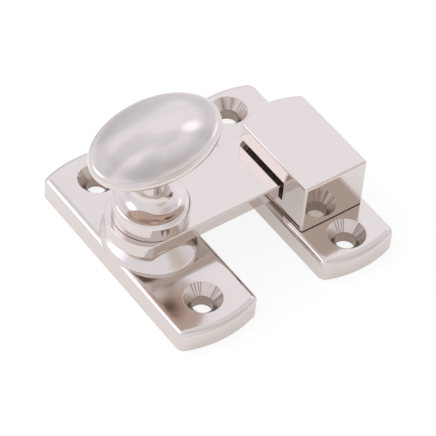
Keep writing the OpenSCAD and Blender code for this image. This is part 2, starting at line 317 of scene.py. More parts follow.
class Shell:
    """A closed skin made of rings, walls between rings, and flat caps."""

    def __init__(self, name: str) -> None:
        """Starts an empty skin.

        Args:
            name: name of the piece.
        """
        self.name = name
        self.bm = bmesh.new()
        self.tags = {tag: self.bm.faces.layers.float.new(tag.value) for tag in Tag}

    def mark(self, tag: Tag, first: int, count: int | None = None, values: Sequence[float] = (1.0,)) -> None:
        """Marks faces with the values in turn, such as one for each step round an axis.

        Args:
            tag: the attribute.
            first: number of faces before them.
            count: number of faces to mark, or None for all that follow.
            values: the values, used over and over.
        """
        self.bm.faces.ensure_lookup_table()
        stop = None if count is None else first + count
        for i, face in enumerate(self.bm.faces[first:stop]):
            face[self.tags[tag]] = float(values[i % len(values)])

    def ring(self, plan: np.ndarray, height: float) -> Ring:
        """Adds a level ring from rows of x and y."""
        return [self.bm.verts.new((float(x), float(y), height)) for x, y in plan]

    def wall(self, *rings: Ring) -> None:
        """Joins rings that have as many points each.

        Args:
            rings: the rings, in order.
        """
        for low, high in zip(rings, rings[1:]):
            count = len(low)
            for i in range(count):
                j = (i + 1) % count
                self.bm.faces.new((low[i], low[j], high[j], high[i]))

    def cap(self, *rings: Ring) -> None:
        """Fills the flat area between level rings.

        Args:
            rings: the outer ring, then the rings of its holes.
        """
        edges = []
        for ring in rings:
            for a, b in zip(ring, ring[1:] + ring[:1]):
                edges.append(self.bm.edges.get((a, b)) or self.bm.edges.new((a, b)))
        bmesh.ops.triangle_fill(self.bm, use_beauty=True, use_dissolve=False, edges=edges)

    def slab(self, outline: Outline, z0: float, z1: float, rounding: Rounding) -> tuple[Ring, Ring]:
        """Adds the side wall of a slab with rounded edges.

        Args:
            outline: the slab's plan.
            z0: height of its foot.
            z1: height of its top.
            rounding: the rounding of its edges.

        Returns:
            The rings that bound its foot and its top.
        """
        rings = [self.ring(outline.inset(inset), z) for inset, z in rounding.levels(z0, z1)]
        self.wall(*rings)
        return rings[0], rings[-1]

    def turned(self, profile: Profile, centre: Pair = (0.0, 0.0),
               steps: int = TURN_STEPS, squash: float = 1.0) -> tuple[Ring, Ring]:
        """Adds a turned wall.

        Args:
            profile: pairs of radius and height.
            centre: the axis, seen from above.
            steps: points on each ring.
            squash: share of the radius that is left along X.

        Returns:
            The first and the last ring.
        """
        shape = np.array([squash, 1.0])
        plans = [Outline.circle(r, steps).rows[:, :2] * shape + np.array(centre) for r, _ in profile]
        rings = [self.ring(plan, z) for plan, (_, z) in zip(plans, profile)]
        self.wall(*rings)
        return rings[0], rings[-1]

    def build(self) -> bpy.types.Object:
        """Merges the doubles, turns the faces outwards and makes the object.

        Returns:
            The object, at the origin.
        """
        close_skin(self.bm)
        mesh = bpy.data.meshes.new(self.name)
        self.bm.to_mesh(mesh)
        self.bm.free()
        return linked(self.name, mesh)


def settled(obj: bpy.types.Object) -> bpy.types.Object:
    """Turns an object's modifiers into a plain mesh.

    Args:
        obj: the object, with its modifiers.

    Returns:
        The same object, with the result as its mesh and no modifiers.
    """
    depsgraph = bpy.context.evaluated_depsgraph_get()
    mesh = bpy.data.meshes.new_from_object(obj.evaluated_get(depsgraph), preserve_all_data_layers=True,
                                           depsgraph=depsgraph)
    obj.modifiers.clear()
    old = obj.data
    obj.data = mesh
    bpy.data.meshes.remove(old)
    mesh.name = obj.name
    return obj


def combined(base: bpy.types.Object, other: bpy.types.Object, operation: str) -> bpy.types.Object:
    """Joins or cuts two closed skins.

    Args:
        base: the object that is kept.
        other: the object that is added or taken away, and then removed.
        operation: UNION or DIFFERENCE.

    Returns:
        The base object with its new mesh.
    """
    boolean = base.modifiers.new("shape", "BOOLEAN")
    boolean.solver = "EXACT"
    boolean.operation = operation
    boolean.object = other
    settled(base)
    bpy.data.objects.remove(other)
    return base


def polished(obj: bpy.types.Object, crease_degrees: float = 32.0) -> bpy.types.Object:
    """Shades an object smooth, with flat faces truly flat and crisp edges kept.

    Args:
        obj: the object.
        crease_degrees: edges that turn by more than this stay crisp.

    Returns:
        The same object.
    """
    bm = bmesh.new()
    bm.from_mesh(obj.data)
    close_skin(bm)
    for face in bm.faces:
        face.smooth = True
    for edge in bm.edges:
        edge.smooth = edge.is_manifold and edge.calc_face_angle(0.0) < math.radians(crease_degrees)
    bm.to_mesh(obj.data)
    bm.free()
    weighted = obj.modifiers.new("flat_faces", "WEIGHTED_NORMAL")
    weighted.mode = "FACE_AREA"
    weighted.weight = FLAT_FACE_WEIGHT
    weighted.keep_sharp = True
    return settled(obj)


class Nodes:
    """Short helper for building a node tree."""

    def __init__(self, tree: bpy.types.NodeTree) -> None:
        """Starts on an emptied tree."""
        self.tree = tree
        tree.nodes.clear()

    def add(self, kind: str, inputs: dict[str | int, object] | None = None, **settings: object) -> bpy.types.Node:
        """Adds a node.

        Args:
            kind: the node's type.
            inputs: values or sockets by input name or number.
            settings: the node's own settings.

        Returns:
            The node.
        """
        node = self.tree.nodes.new(kind)
        for name, value in settings.items():
            setattr(node, name, value)
        for name, value in (inputs or {}).items():
            if isinstance(value, bpy.types.NodeSocket):
                self.tree.links.new(value, node.inputs[name])
            else:
                node.inputs[name].default_value = value
        return node

    def blend(self, share: object, low: object, high: object) -> bpy.types.NodeSocket:
        """Blends two colours, each a value or a socket, by the share of the second."""
        return self.add("ShaderNodeMix", {0: share, 6: low, 7: high}, data_type="RGBA").outputs[2]

    def math(self, operation: str, *values: object, clamp: bool = False) -> bpy.types.NodeSocket:
        """Computes with numbers or sockets; a clamped result stays between 0 and 1."""
        node = self.add("ShaderNodeMath", dict(enumerate(values)), operation=operation, use_clamp=clamp)
        return node.outputs[0]

    def lifted(self, mesh: bpy.types.NodeSocket, height: bpy.types.NodeSocket) -> bpy.types.NodeSocket:
        """Lifts a mesh in a geometry tree."""
        move = self.add("ShaderNodeCombineXYZ", {2: height}).outputs[0]
        return self.add("GeometryNodeTransform", {"Geometry": mesh, "Translation": move}).outputs[0]

    def bands(self, place: bpy.types.NodeSocket, pitch: float, distortion: float,
              detail_scale: float) -> bpy.types.NodeSocket:
        """Tool marks that follow one another along Z.

        Args:
            place: the coordinates.
            pitch: distance between marks.
            distortion: how far they wander.
            detail_scale: how finely they wander.

        Returns:
            The marks' height.
        """
        return self.add("ShaderNodeTexWave", {"Vector": place, "Scale": BAND_SPACING / pitch,
                                              "Distortion": distortion, "Detail": 2.0,
                                              "Detail Scale": detail_scale},
                        wave_type="BANDS", bands_direction="Z").outputs["Fac"]


def new_material(name: str) -> tuple[bpy.types.Material, Nodes]:
    """Makes a material with an empty tree.

    Args:
        name: the material's name.

    Returns:
        The material and its tree's helper.
    """
    material = bpy.data.materials.new(name)
    material.use_nodes = True
    return material, Nodes(material.node_tree)


def rgba(tone: Triple, gain: float = 1.0) -> tuple[float, ...]:
    """A colour as a socket takes it.

    Args:
        tone: red, green and blue.
        gain: factor on all three.

    Returns:
        The colour, opaque.
    """
    return (*(c * gain for c in tone), 1.0)


@dataclass(frozen=True)
class NickelFinish:
    """Polished nickel plate over a cast and hand-buffed piece."""

    name: str
    tone: Triple = (0.70, 0.635, 0.59)
    tone_drift: float = 0.02
    drift_size: float = 14 * MM
    drift_along: Triple = (1.0, 1.0, 1.0)
    roughness: float = 0.04
    roughness_drift: float = 0.035
    wave_size: float = 9 * MM
    wave_height: float = 0.010 * MM
    buff_size: float = 0.5 * MM
    buff_height: float = 0.0004 * MM
    buff_along: Triple = (0.08, 1.0, 0.3)
    drilled_tone: Triple = (0.42, 0.34, 0.29)
    drilled_roughness: float = 0.26
    sunk_tone: Triple = (0.66, 0.575, 0.52)
    sunk_roughness: float = 0.27
    # darker, warmer tone: painted shade on the underside of the knob's head
    painted_underside_shade_tone: Triple = (0.58, 0.46, 0.39)
    drilled_pitch: float = 0.45 * MM
    drilled_height: float = 0.012 * MM
    drilled_wander: float = 0.8
    haze_range: Pair = (0.35, 0.75)
    # dark tone for painted shade at the feet, in the slot and in the knob's valley, and for the countersinks'
    # chatter marks
    painted_shade_and_chatter_tone: Triple = (0.06, 0.045, 0.04)

    def material(self) -> bpy.types.Material:
        """Builds the material.

        Returns:
            The material.
        """
        material, nodes = new_material(self.name)
        place = nodes.add("ShaderNodeTexCoord").outputs["Object"]
        drilled, sunk, painted_shade_and_chatter, under = (
            nodes.add("ShaderNodeAttribute", attribute_name=tag.value).outputs["Fac"]
            for tag in (Tag.DRILLED, Tag.SUNK, Tag.SEAM, Tag.PAINTED_UNDERSIDE_SHADE))
        cloud, along = (nodes.add("ShaderNodeMapping", {"Vector": place, "Scale": scale}).outputs[0]
                        for scale in (self.drift_along, self.buff_along))
        drift, wave, buff = (
            nodes.add("ShaderNodeTexNoise", {"Vector": where, "Scale": 1 / size, "Detail": detail}).outputs["Fac"]
            for where, size, detail in ((cloud, self.drift_size, 2.0), (place, self.wave_size, 1.0),
                                        (along, self.buff_size, 3.0)))
        tone = nodes.blend(drift, rgba(self.tone, 1 - self.tone_drift), rgba(self.tone, 1 + self.tone_drift))
        # blends in the painted shade under the knob's head, the countersinks, the drilled walls, then the painted
        # shade and chatter marks
        for mask, other in ((under, self.painted_underside_shade_tone), (sunk, self.sunk_tone), (drilled, self.drilled_tone),
                            (painted_shade_and_chatter, self.painted_shade_and_chatter_tone)):
            tone = nodes.blend(mask, tone, rgba(other))
        low, high = self.haze_range
        rough = nodes.add("ShaderNodeMapRange", {
            "Value": buff, "From Min": low, "From Max": high, "To Min": self.roughness,
            "To Max": self.roughness + self.roughness_drift}).outputs[0]
        for mask, other in ((sunk, self.sunk_roughness), (drilled, self.drilled_roughness)):
            rough = nodes.add("ShaderNodeMix", {0: mask, 2: rough, 3: other}).outputs[0]
        marks = nodes.math("MULTIPLY", nodes.bands(place, self.drilled_pitch, self.drilled_wander, 2.0), drilled)
        bump = nodes.add("ShaderNodeBump", {"Height": wave, "Distance": self.wave_height})
        for height, distance in ((buff, self.buff_height), (marks, self.drilled_height)):
            bump = nodes.add("ShaderNodeBump", {"Height": height, "Distance": distance, "Normal": bump.outputs[0]})
        shader = nodes.add("ShaderNodeBsdfPrincipled", {
            # faces with painted shade or chatter marks are also less metallic
            "Base Color": tone, "Metallic": nodes.math("SUBTRACT", 1.0, painted_shade_and_chatter), "Roughness": rough,
            "Normal": bump.outputs[0]})
        nodes.add("ShaderNodeOutputMaterial", {"Surface": shader.outputs[0]})
        return material


@dataclass(frozen=True)
class SteelFinish:
    """Plain turned steel, with fine tool marks round its axis."""

    name: str
    tone: Triple = (0.46, 0.46, 0.47)
    roughness: float = 0.24
    mark_pitch: float = 0.12 * MM
    mark_height: float = 0.004 * MM
    mark_strength: float = 0.6
    mark_wander: float = 1.5
    smear_size: float = 2.0 * MM
    tone_range: Pair = (0.85, 1.12)
    roughness_range: Pair = (0.8, 1.4)

    def material(self) -> bpy.types.Material:
        """Builds the material.

        Returns:
            The material.
        """
        material, nodes = new_material(self.name)
        place = nodes.add("ShaderNodeTexCoord").outputs["Object"]
        marks = nodes.bands(place, self.mark_pitch, self.mark_wander, 1.0)
        smear = nodes.add("ShaderNodeTexNoise", {"Vector": place, "Scale": 1 / self.smear_size,
                                                 "Detail": 4.0}).outputs["Fac"]
        tint = nodes.blend(smear, *(rgba(self.tone, gain) for gain in self.tone_range))
        low, high = (self.roughness * gain for gain in self.roughness_range)
        rough = nodes.add("ShaderNodeMapRange", {"Value": smear, "To Min": low, "To Max": high})
        bump = nodes.add("ShaderNodeBump", {"Height": marks, "Strength": self.mark_strength,
                                            "Distance": self.mark_height})
        shader = nodes.add("ShaderNodeBsdfPrincipled", {"Base Color": tint, "Metallic": 1.0,
                                                        "Roughness": rough.outputs[0], "Normal": bump.outputs[0]})
        nodes.add("ShaderNodeOutputMaterial", {"Surface": shader.outputs[0]})
        return material


RECIPES = {
    Slot.PLATE: NickelFinish("nickel_plate", roughness=0.10, roughness_drift=0.06),
    Slot.ARM: NickelFinish("nickel_arm", buff_along=(1.0, 0.08, 0.3)),
    Slot.KNOB: NickelFinish(
        "nickel_knob", tone_drift=0.13, drift_size=7 * MM, drift_along=(0.35, 1.0, 1.0), roughness=0.06,
        roughness_drift=0.07, buff_size=0.9 * MM, buff_height=0.007 * MM, buff_along=(0.15, 0.6, 1.0),
        wave_size=7 * MM, wave_height=0.06 * MM),
    Slot.BLOCK: NickelFinish("nickel_block", buff_along=(0.3, 0.08, 1.0)),
    Slot.STEEL: SteelFinish("turned_steel"),
    Slot.SPRING: SteelFinish("spring_steel", tone=(0.20, 0.21, 0.24), roughness=0.3),
}


@dataclass
class Finishes:
    """The latch's materials, each built once."""

    made: dict[Slot, bpy.types.Material] = field(default_factory=dict)

    def get(self, slot: Slot) -> bpy.types.Material:
        """The material of a slot.

        Args:
            slot: the record's slot.

        Returns:
            The slot's material.
        """
        if slot not in self.made:
            self.made[slot] = RECIPES[slot].material()
        return self.made[slot]


FINISHES = Finishes()


def dress(obj: bpy.types.Object, body: Body, slot: Slot, *nodes: str) -> None:
    """Gives a finished piece its slot's material and its body, and hides the CAD nodes that it replaces.

    Args:
        obj: the piece.
        body: the body it rides on.
        slot: the record's slot.
        nodes: the CAD nodes that it replaces.
    """
    obj.data.materials.clear()
    obj.data.materials.append(FINISHES.get(slot))
    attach(obj, body.value)
    if nodes:
        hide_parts(*nodes)
    faces = len(obj.data.polygons)
    log.info("%s: %d faces, rides on %s, stands for %s", obj.name, faces, body.value, ", ".join(nodes) or "nothing")


@dataclass
class ScrewHole:
    """Countersunk hole of a plate."""

    hole_r: float = 2.25 * MM
    sink_r: float = 4.1 * MM
    sink_depth: float = 2.13 * MM
    edge_r: float = 0.12 * MM
    steps: int = 96
    seed: int = 7
    plain_share: float = 0.04
    tick_share: float = 0.5
    tick_chance: float = 0.17

    def marks(self, chance: np.random.Generator) -> np.ndarray:
        """How dark each step of the countersink is: mostly bright, with a few chatter marks."""
        dull = self.plain_share * chance.random(self.steps)
        return np.where(chance.random(self.steps) < self.tick_chance, self.tick_share, dull)

    def profile(self, thickness: float) -> Profile:
        """The hole's wall, from the plate's face to its back.

        Args:
            thickness: the plate's thickness.

        Returns:
            Pairs of radius and height.
        """
        return rounded_profile([
            Bend(self.sink_r + 2 * self.edge_r, thickness),
            Bend(self.sink_r, thickness, self.edge_r),
            Bend(self.hole_r, thickness - self.sink_depth, self.edge_r / 2),
            Bend(self.hole_r, 0.0),
        ])


@dataclass
class Plate:
    """One of the two slim plates: an arched strip with softened edges and countersunk holes."""

    node: str
    hole_gap: float
    end_r: float = 24 * MM
    corner_r: float = 1.8 * MM
    soft: float = 0.9 * MM
    polish_spread: float = 1.85
    edge_steps: int = 14
    hole: ScrewHole = field(default_factory=ScrewHole)

    @property
    def extent(self) -> Extent:
        """The node's box."""
        return Extent.of(self.node)

    @property
    def thickness(self) -> float:
        """Thickness of both plates, as the keep's plate has it."""
        return Extent.of("keep_plate").high.z

    def outline(self) -> Outline:
        """The plate's plan, in its place.

        Returns:
            The outline.
        """
        size, middle = self.extent.size, self.extent.middle
        end = End(size.y / 2, self.end_r)
        return Outline.strip(size.x, end, end, self.corner_r).moved(middle.x, middle.y)

    def shell(self, name: str, recesses: Sequence[tuple[Pair, Profile]] = ()) -> Shell:
        """The plate with its screw holes and the recesses that start at its back.

        Args:
            name: name of the piece.
            recesses: centre and profile of each recess, from the back up; one that ends below the face is
                closed there.

        Returns:
            The skin.
        """
        shell = Shell(name)
        edges = Rounding(top=self.soft, steps=self.edge_steps, spread=self.polish_spread)
        foot, top = shell.slab(self.outline(), 0.0, self.thickness, edges)
        feet, tops = [foot], [top]
        middle = self.extent.middle
        profile = self.hole.profile(self.thickness)
        chance = np.random.default_rng(self.hole.seed)
        for side in (-1, 1):
            first = len(shell.bm.faces)
            rim, base = shell.turned(profile, (middle.x, middle.y + side * self.hole_gap / 2), self.hole.steps)
            shell.mark(Tag.DRILLED, first + (len(profile) - 2) * self.hole.steps)
            cone = (first + self.hole.steps, (len(profile) - 3) * self.hole.steps)
            shell.mark(Tag.SUNK, *cone)
            shell.mark(Tag.SEAM, *cone, self.hole.marks(chance))
            tops.append(rim)
            feet.append(base)
        for centre, profile in recesses:
            base, end = shell.turned(profile, centre)
            feet.append(base)
            if profile[-1][1] < self.thickness:
                shell.cap(end)
            else:
                tops.append(end)
        shell.cap(*feet)
        shell.cap(*tops)
        return shell


@dataclass
class MainPlate(Plate):
    """The knob's plate, with the collar that the arm turns on."""

    node: str = "main_plate"
    hole_gap: float = 38.4 * MM
    collar_r: float = 11.2 * MM
    collar_h: float = 1.3 * MM
    collar_soft: float = 0.9 * MM
    collar_top_r: float = 6.6 * MM
    collar_top_soft: float = 0.3 * MM
    collar_steps: int = 12
    collar_sides: int = 160
    bore_r: float = 4.05 * MM
    recess_r: float = 6.8 * MM
    recess_top: float = 3.0 * MM
    sunk: float = 1.0 * MM  # how far the collar reaches down into the plate

    def collar(self) -> bpy.types.Object:
        """The oval collar, as wide as the plate, with a rounded edge and a sloping top.

        Returns:
            The collar, sunk into the plate.
        """
        top = self.extent.high.z
        edge = self.thickness + self.collar_h
        slope = (top - edge) / (self.collar_r - self.collar_soft - self.collar_top_r)
        profile = rounded_profile([
            Bend(self.collar_r, self.thickness - self.sunk),
            Bend(self.collar_r, edge - slope * self.collar_soft, self.collar_soft),
            Bend(self.collar_top_r, top, self.collar_top_soft),
            Bend(self.bore_r, top),
        ], self.collar_steps)
        shell = Shell("collar")
        low, high = shell.turned(profile, steps=self.collar_sides, squash=self.extent.size.x / 2 / self.collar_r)
        shell.cap(low)
        shell.cap(high)
        return shell.build()

    def build(self) -> None:
        """Makes the plate, its collar, its bore and the recess behind it."""
        plate = combined(self.shell("main_plate_polished").build(), self.collar(), "UNION")
        bore = Shell("bore")
        over, top = self.sunk, self.extent.high.z
        first, last = bore.turned([(self.recess_r, -over), (self.recess_r, self.recess_top),
                                   (self.bore_r, self.recess_top), (self.bore_r, top + over)])
        bore.cap(first)
        bore.cap(last)
        combined(plate, bore.build(), "DIFFERENCE")
        dress(polished(plate), Body.FIXED, Slot.PLATE, self.node)


@dataclass
class KeepPlate(Plate):
    """The keep's plate, with the recesses for the two screws that hold its block."""

    node: str = "keep_plate"
    hole_gap: float = 41.8 * MM
    head_recess_r: float = 3.0 * MM
    play: float = 0.2 * MM  # room round the screws' threads

    def build(self) -> None:
        """Makes the plate."""
        recesses = []
        for screw in BLOCK_SCREWS:
            box = Extent.of(screw)
            head_top = box.low.z + SlottedScrew.head_h
            thread_r = SlottedScrew.thread_r + self.play
            recesses.append(((box.middle.x, box.middle.y), [
                (self.head_recess_r, 0.0), (self.head_recess_r, head_top),
                (thread_r, head_top), (thread_r, self.thickness)]))
        dress(polished(self.shell("keep_plate_polished", recesses).build()), Body.FIXED, Slot.PLATE, self.node)


@dataclass
class KeepBlock:
    """The block with the slot that holds the arm's tip."""

    node: str = "keep_block"
    back_r: float = 14.6 * MM
    corner_r: float = 0.6 * MM
    soft: float = 0.5 * MM
    side_wall: float = 2.4 * MM
    slot_front: float = -8.7 * MM
    slot_bottom: float = 8.2 * MM
    slot_top: float = 13.4 * MM
    slot_corner: float = 0.35 * MM
    lip_soft: float = 0.14 * MM
    foot_soft: float = 0.28 * MM
    # painted shade inside the slot: share of the dark tone on its inner faces, which also lowers their metal sheen
    slot_shade: float = 0.35
    straight_r: float = 0.6  # arc of the front, which looks straight
    corner_steps: int = 6
    lip_steps: int = 3
    cut_over: float = 2.0 * MM
    spare: float = 0.01 * MM  # tolerance for finding the slot's lips

    def blank(self) -> bpy.types.Object:
        """The block before its slot is cut.

        Returns:
            The block, with painted shade on its foot's rounding, which shows as a dark line where it meets the
            plate.
        """
        box = Extent.of(self.node)
        half = box.size.y / 2
        outline = Outline.strip(box.size.x, End(half, self.back_r), End(half, self.straight_r), self.corner_r)
        shell = Shell("keep_block_polished")
        rounding = Rounding(self.foot_soft, self.soft)
        foot, top = shell.slab(outline.moved(box.middle.x, box.middle.y), box.low.z, box.high.z, rounding)
        # painted shade on the foot's rounding
        shell.mark(Tag.SEAM, 0, rounding.steps * len(foot))
        shell.cap(foot)
        shell.cap(top)
        return shell.build()

    def slot_cutter(self) -> bpy.types.Object:
        """The slot's space: open towards the knob and at the back.

        Returns:
            The space as a closed skin.
        """
        box = Extent.of(self.node)
        r = self.slot_corner
        low_corner = arc_points((self.slot_front + r, self.slot_bottom + r), r, 270, 180, self.corner_steps)[:, :2]
        high_corner = arc_points((self.slot_front + r, self.slot_top - r), r, 180, 90, self.corner_steps)[:, :2]
        back = box.high.y + self.cut_over
        section = np.vstack([[[back, self.slot_bottom]], low_corner, high_corner, [[back, self.slot_top]]])
        shell = Shell("slot")
        rings = []
        for x in (box.low.x - self.cut_over, box.high.x - self.side_wall):
            rings.append([shell.bm.verts.new((x, float(y), float(z))) for y, z in section])
        shell.wall(*rings)
        for ring in rings:
            shell.bm.faces.new(ring)
        # painted shade on the slot's inner faces
        shell.mark(Tag.SEAM, 0, values=(self.slot_shade,))
        return shell.build()

    def build(self) -> None:
        """Makes the block, cuts its slot and softens the slot's lips."""
        block = combined(self.blank(), self.slot_cutter(), "DIFFERENCE")
        box = Extent.of(self.node)
        mesh, spare = block.data, self.spare
        weights = mesh.attributes.new("bevel_weight_edge", "FLOAT", "EDGE")
        for edge in mesh.edges:
            ends = [mesh.vertices[i].co for i in edge.vertices]
            if all(self.slot_bottom - spare < p.z < self.slot_top + spare and p.y > self.slot_front - spare
                   and abs(p.x - box.low.x) < spare for p in ends):
                weights.data[edge.index].value = 1.0
        bevel = block.modifiers.new("lips", "BEVEL")
        bevel.limit_method = "WEIGHT"
        bevel.width = self.lip_soft
        bevel.segments = self.lip_steps
        settled(block)
        dress(polished(block), Body.FIXED, Slot.BLOCK, self.node)


@dataclass
class ScrewTree:
    """Geometry nodes of a slotted screw: a chamfered head, a core and a thread that winds round it."""

    name: str = "slotted_screw"
    sides: int = 72
    turn_points: int = 32
    ridge_sides: int = 4
    chamfer_share: float = 0.15
    cutter_share: float = 3.0
    depth_share: float = 0.5
    start_share: float = 0.6
    tree: bpy.types.NodeTree | None = None

    def head(self, nodes: Nodes, given: bpy.types.NodeOutputs) -> bpy.types.NodeSocket:
        """The head, with its chamfer and its screwdriver slot.

        Args:
            nodes: the tree's helper.
            given: the tree's inputs.

        Returns:
            The head's mesh.
        """
        height, radius = given["Head Height"], given["Head Radius"]
        chamfer = nodes.math("MULTIPLY", height, self.chamfer_share)
        drum_h = nodes.math("SUBTRACT", height, chamfer)
        drum = nodes.add("GeometryNodeMeshCylinder", {"Vertices": self.sides, "Radius": radius, "Depth": drum_h})
        drum = nodes.lifted(drum.outputs["Mesh"], nodes.math("MULTIPLY", drum_h, -0.5))
        cone = nodes.add("GeometryNodeMeshCone", {"Vertices": self.sides, "Radius Top": radius,
                                                  "Radius Bottom": nodes.math("SUBTRACT", radius, chamfer),
                                                  "Depth": chamfer})
        cone = nodes.lifted(cone.outputs["Mesh"], nodes.math("MULTIPLY", height, -1.0))
        blank = nodes.add("GeometryNodeMeshBoolean", operation="UNION")
        for part in (drum, cone):
            nodes.tree.links.new(part, blank.inputs["Mesh 2"])
        size = nodes.add("ShaderNodeCombineXYZ", {0: nodes.math("MULTIPLY", radius, self.cutter_share),
                                                  1: given["Drive Width"],
                                                  2: nodes.math("MULTIPLY", given["Drive Depth"], 2.0)})
        cutter = nodes.add("GeometryNodeMeshCube", {"Size": size.outputs[0]})
        cutter = nodes.lifted(cutter.outputs["Mesh"], nodes.math("MULTIPLY", height, -1.0))
        slotted = nodes.add("GeometryNodeMeshBoolean", {"Mesh 1": blank.outputs["Mesh"]}, operation="DIFFERENCE")
        nodes.tree.links.new(cutter, slotted.inputs["Mesh 2"])
        return slotted.outputs["Mesh"]

    def thread(self, nodes: Nodes, given: bpy.types.NodeOutputs) -> list[bpy.types.NodeSocket]:
        """The core and the ridge that winds round it.

        Args:
            nodes: the tree's helper.
            given: the tree's inputs.

        Returns:
            The two meshes.
        """
        length, pitch = given["Length"], given["Pitch"]
        depth = nodes.math("MULTIPLY", pitch, self.depth_share)
        core_r = nodes.math("SUBTRACT", given["Thread Radius"], depth)
        core = nodes.add("GeometryNodeMeshCylinder", {"Vertices": self.sides, "Radius": core_r, "Depth": length})
        core = nodes.lifted(core.outputs["Mesh"], nodes.math("MULTIPLY", length, 0.5))
        rise = nodes.math("SUBTRACT", length, nodes.math("MULTIPLY", pitch, 2 * self.start_share))
        path = nodes.add("GeometryNodeCurveSpiral", {
            "Resolution": self.turn_points, "Rotations": nodes.math("DIVIDE", rise, pitch),
            "Start Radius": core_r, "End Radius": core_r, "Height": rise})
        upright = nodes.add("GeometryNodeSetCurveNormal", {"Curve": path.outputs[0]}, mode="Z_UP")
        section = nodes.add("GeometryNodeCurvePrimitiveCircle", {"Resolution": self.ridge_sides,
                                                                      "Radius": depth})
        ridge = nodes.add("GeometryNodeCurveToMesh", {"Curve": upright.outputs[0],
                                                      "Profile Curve": section.outputs[0], "Fill Caps": True})
        return [core, nodes.lifted(ridge.outputs["Mesh"], nodes.math("MULTIPLY", pitch, self.start_share))]

    def get(self) -> bpy.types.NodeTree:
        """Builds the tree once.

        Returns:
            The node tree.
        """
        if self.tree:
            return self.tree
        tree = bpy.data.node_groups.new(self.name, "GeometryNodeTree")
        for size in ("Head Radius", "Head Height", "Thread Radius", "Length", "Pitch", "Drive Width", "Drive Depth"):
            tree.interface.new_socket(size, in_out="INPUT", socket_type="NodeSocketFloat")
        tree.interface.new_socket("Place", in_out="INPUT", socket_type="NodeSocketVector")
        tree.interface.new_socket("Finish", in_out="INPUT", socket_type="NodeSocketMaterial")
        tree.interface.new_socket("Screw", in_out="OUTPUT", socket_type="NodeSocketGeometry")
        nodes = Nodes(tree)
        given = nodes.add("NodeGroupInput").outputs
        joined = nodes.add("GeometryNodeJoinGeometry")
        for part in (self.head(nodes, given), *self.thread(nodes, given)):
            tree.links.new(part, joined.inputs[0])
        placed = nodes.add("GeometryNodeTransform", {"Geometry": joined.outputs[0], "Translation": given["Place"]})
        real = nodes.add("GeometryNodeRealizeInstances", {0: placed.outputs[0]})
        dressed = nodes.add("GeometryNodeSetMaterial", {"Geometry": real.outputs[0], "Material": given["Finish"]})
        nodes.add("NodeGroupOutput", {0: dressed.outputs[0]})
        self.tree = tree
        return tree


SCREW_TREE = ScrewTree()


@dataclass
class SlottedScrew:
    """A steel screw seen from behind; without other sizes it is one of the two that hold the block."""

    node: str
    body: Body = Body.FIXED
    head_r: float = 2.8 * MM
    head_h: float = 1.6 * MM
    thread_r: float = 1.5 * MM
    pitch: float = 0.5 * MM
    drive_w: float = 0.9 * MM
    drive_d: float = 0.6 * MM

    def build(self) -> None:
        """Makes the screw in place of its plain solid."""
        box = Extent.of(self.node)
        given = {"Head Radius": self.head_r, "Head Height": self.head_h, "Thread Radius": self.thread_r,
                 "Length": box.size.z - self.head_h, "Pitch": self.pitch, "Drive Width": self.drive_w,
                 "Drive Depth": self.drive_d, "Finish": FINISHES.get(Slot.STEEL),
                 "Place": (box.middle.x, box.middle.y, box.low.z + self.head_h)}
        name = self.node + "_threaded"
        screw = linked(name, bpy.data.meshes.new(name))
        modifier = screw.modifiers.new("screw", "NODES")
        modifier.node_group = SCREW_TREE.get()
        for socket in modifier.node_group.interface.items_tree:
            if socket.in_out == "INPUT":
                modifier[socket.identifier] = given[socket.name]
        dress(polished(settled(screw)), self.body, Slot.STEEL, self.node)


@dataclass
class LatchArm:
    """The flat arm, with its round end, its hub and its square hole."""

    node: str = "latch_arm"
    thickness: float = 3.5 * MM
    end_r: float = 9.4 * MM
    corner_r: float = 1.8 * MM
    soft: float = 0.35 * MM
    edge_steps: int = 6
    hub_r: float = 6.2 * MM
    hub_soft: float = 0.1 * MM
    hole_half: float = 3.05 * MM
    hole_reach: float = 4.05 * MM

    def build(self) -> None:
        """Makes the arm."""
        box = Extent.of(self.node)
        width = box.size.y
        bottom, top = box.high.z - self.thickness, box.high.z
        tip_r = box.high.x
        outline = Outline.strip(width, End(tip_r, tip_r), End(self.end_r, self.end_r), self.corner_r).turned(-90)
        shell = Shell("latch_arm_polished")
        foot, face = shell.slab(outline, bottom, top, Rounding(self.soft, self.soft, self.edge_steps))
        hub = rounded_profile([Bend(self.hub_r, bottom), Bend(self.hub_r, box.low.z, self.hub_soft),
                               Bend(self.hub_r - 3 * self.hub_soft, box.low.z)])
        hub_root, hub_face = shell.turned(hub)
        square = Outline.square(self.hole_half, self.hole_reach)
        low, high = shell.slab(square, box.low.z, top, Rounding())
        shell.cap(foot, hub_root)
        shell.cap(hub_face, low)
        shell.cap(face, high)
        dress(polished(shell.build()), Body.TURNING, Slot.ARM, self.node)


@dataclass(frozen=True)
class Level:
    """One level of the knob's loft: its half-length, its half-width and its height."""

    along: float
    across: float
    height: float

    @staticmethod
    def bridge(before: "Level", start: "Level", stop: "Level", after: "Level", steps: int) -> list["Level"]:
        """Levels on a smooth curve between two stretches of a loft.

        Args:
            before: the level before the curve's start.
            start: the curve's start.
            stop: the curve's end.
            after: the level after the curve's end.
            steps: number of stretches on the curve.

        Returns:
            The levels between the two.
        """
        p0, p1, p2, p3 = (np.array([v.along, v.across, v.height]) for v in (before, start, stop, after))
        reach = np.linalg.norm(p2 - p1)
        leave = (p1 - p0) / np.linalg.norm(p1 - p0) * reach
        arrive = (p3 - p2) / np.linalg.norm(p3 - p2) * reach
        out = []
        for t in np.linspace(0, 1, steps + 1)[1:-1]:
            point = ((2 * t**3 - 3 * t**2 + 1) * p1 + (t**3 - 2 * t**2 + t) * leave
                     + (3 * t**2 - 2 * t**3) * p2 + (t**3 - t**2) * arrive)
            out.append(Level(*map(float, point)))
        return out


